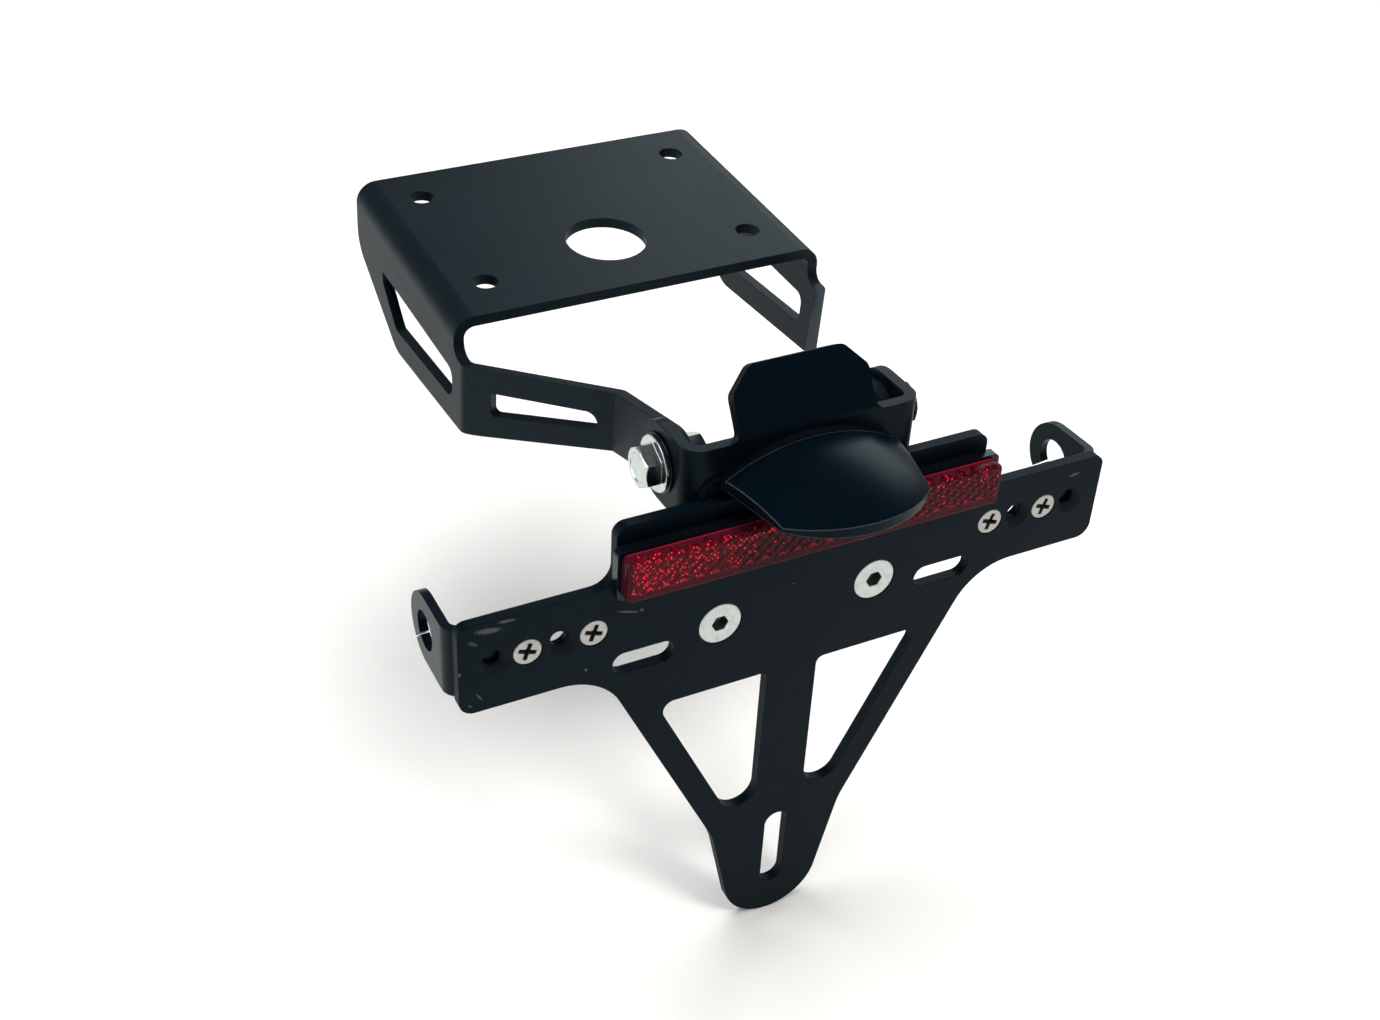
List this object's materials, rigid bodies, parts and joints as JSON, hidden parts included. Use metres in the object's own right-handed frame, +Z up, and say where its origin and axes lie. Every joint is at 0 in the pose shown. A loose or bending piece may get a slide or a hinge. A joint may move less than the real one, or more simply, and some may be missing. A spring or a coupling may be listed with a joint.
{
  "type": "tail tidy",
  "caption": "Motorbike tail tidy: folded bracket with two arms, tilting licence-plate holder, reflector, plate lamp and indicator brackets.",
  "frame": {"origin": "centre of the four mounting holes on the mounting bracket's upper face", "axes": "+Z up, +Y forward towards the bike's front, +X to the right as seen from behind the bike"},
  "size_m": [0.1856, 0.1979, 0.1752],
  "materials": {
    "black_coat": "satin black powder coat",
    "foam_pad": "matte",
    "black_plastic": "gloss black plastic",
    "red_lens": "clear red plastic over prisms",
    "black_rubber": "matte",
    "lamp_shell": "satin black plastic",
    "circuit_board": "matte white board",
    "clear_lens": "clear plastic",
    "zinc": "bright zinc plating",
    "stainless": "plain stainless steel"
  },
  "bodies": {
    "mount": {"mounting_bracket": "black_coat", "pivot_bolt_left": "zinc", "pivot_bolt_right": "zinc", "pivot_washer_left": "zinc", "pivot_washer_right": "zinc", "pivot_nut_left": "zinc", "pivot_nut_right": "zinc"},
    "holder": {"centre_bracket": "black_coat", "holder_plate": "black_coat", "indicator_bracket_left": "black_coat", "indicator_bracket_right": "black_coat", "reflector_pad": "foam_pad", "reflector_base": "black_plastic", "reflector_lens": "red_lens", "lamp_gasket": "black_rubber", "lamp_housing": "lamp_shell", "lamp_board": "circuit_board", "lamp_lens": "clear_lens", "lamp_nut_left": "zinc", "lamp_nut_right": "zinc", "plate_screw_left": "zinc", "plate_screw_right": "zinc", "plate_nut_left": "zinc", "plate_nut_right": "zinc", "indicator_screw_left_inner": "stainless", "indicator_screw_left_outer": "stainless", "indicator_screw_right_inner": "stainless", "indicator_screw_right_outer": "stainless", "indicator_nut_left_inner": "zinc", "indicator_nut_left_outer": "zinc", "indicator_nut_right_inner": "zinc", "indicator_nut_right_outer": "zinc"}
  },
  "joints": [
    {"name": "plate_tilt", "type": "hinge", "parent": "mount", "child": "holder", "pos_m": [0, -0.11366, -0.0005], "axis": [1, 0, 0], "range_deg": [-20, 20]}
  ]
}
